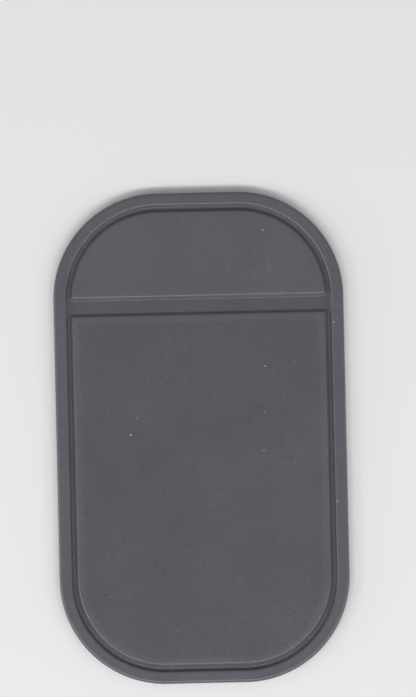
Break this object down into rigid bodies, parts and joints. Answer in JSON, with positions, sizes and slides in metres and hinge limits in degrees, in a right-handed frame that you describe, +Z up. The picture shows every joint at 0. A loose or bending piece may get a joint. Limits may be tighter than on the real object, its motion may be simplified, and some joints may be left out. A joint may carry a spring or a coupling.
{
  "type": "bead mat",
  "caption": "Small tacky gel mat with rounded ends, a grooved rim, a field of fine pits that keeps beads in place and a smooth arched panel, on a peel-off film.",
  "frame": {"origin": "on the bench, under the middle of the mat's outline", "axes": "+X across the mat, +Y along it towards the end with the arched panel, +Z up out of the bead side"},
  "size_m": [0.0826, 0.1396, 0.0031],
  "materials": {
    "gel": "satin, slightly tacky grey gel",
    "film": "clear glossy film"
  },
  "bodies": {
    "liner": {"release_liner": "film"},
    "mat": {"gel_mat": "gel"}
  },
  "joints": [
    {"name": "mat_lift", "type": "slide", "parent": "liner", "child": "mat", "axis": [0, 0, 1], "range_m": [0, 0.03]}
  ]
}
